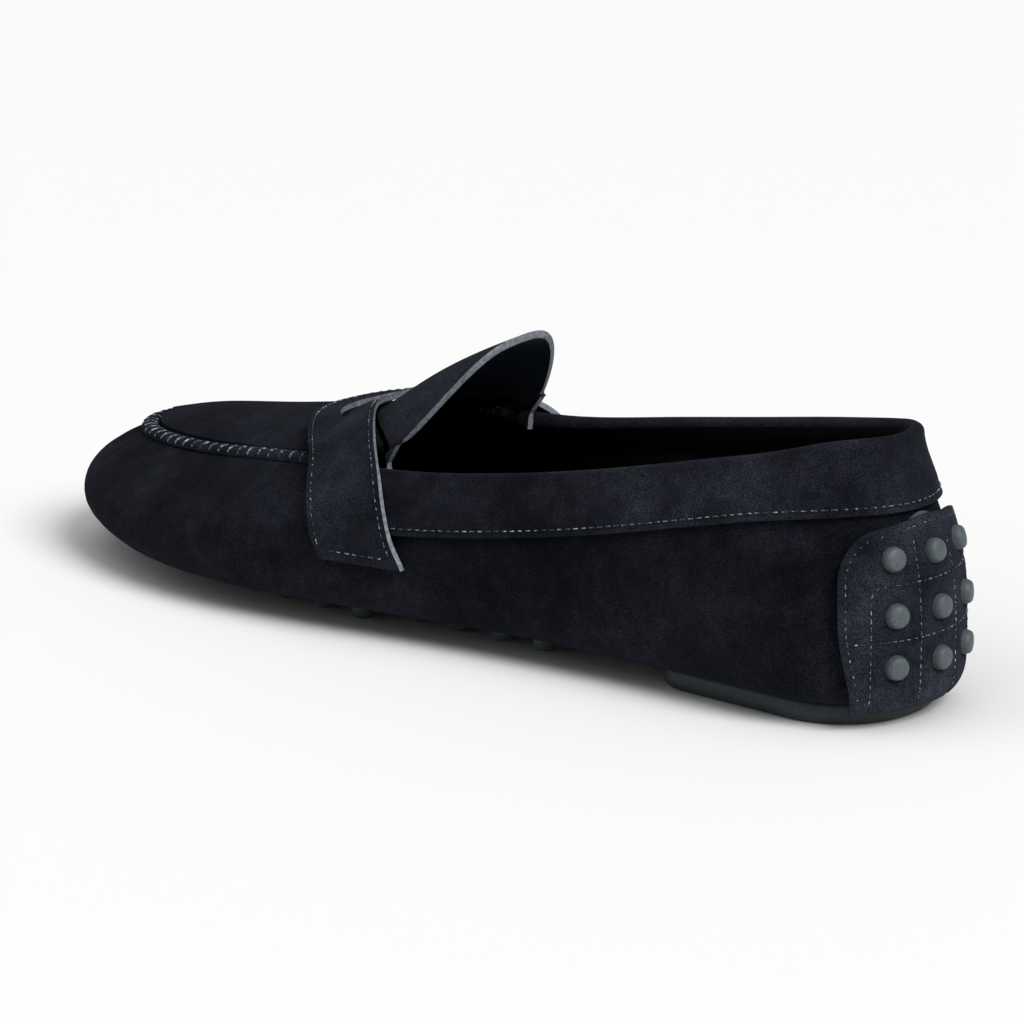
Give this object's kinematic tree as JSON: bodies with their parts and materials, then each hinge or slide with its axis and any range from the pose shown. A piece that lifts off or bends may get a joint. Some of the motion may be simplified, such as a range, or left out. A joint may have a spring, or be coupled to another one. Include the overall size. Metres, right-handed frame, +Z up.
{
  "type": "driving moccasin",
  "caption": "Left driving moccasin with a folded suede collar, saddle strap, tongue, studded heel patch and pebbled rubber sole.",
  "frame": {"origin": "centre of the shoe's outline on the floor", "axes": "+Y from the toe to the heel, +X to the outer side of the left foot, +Z up"},
  "size_m": [0.0976, 0.288, 0.0757],
  "materials": {
    "suede": "napped navy suede",
    "suede_trim": "napped navy suede",
    "rubber": "satin grey-green rubber",
    "lining_leather": "smooth navy leather"
  },
  "bodies": {
    "root": {"upper": "suede", "apron": "suede", "collar": "suede_trim", "apron_seam": "suede_trim", "saddle_strap": "suede_trim", "tongue": "suede_trim", "heel_patch": "suede_trim", "stud_sole": "rubber", "heel_plate": "rubber", "heel_stud_sheet": "rubber", "insole": "lining_leather"}
  },
  "joints": []
}
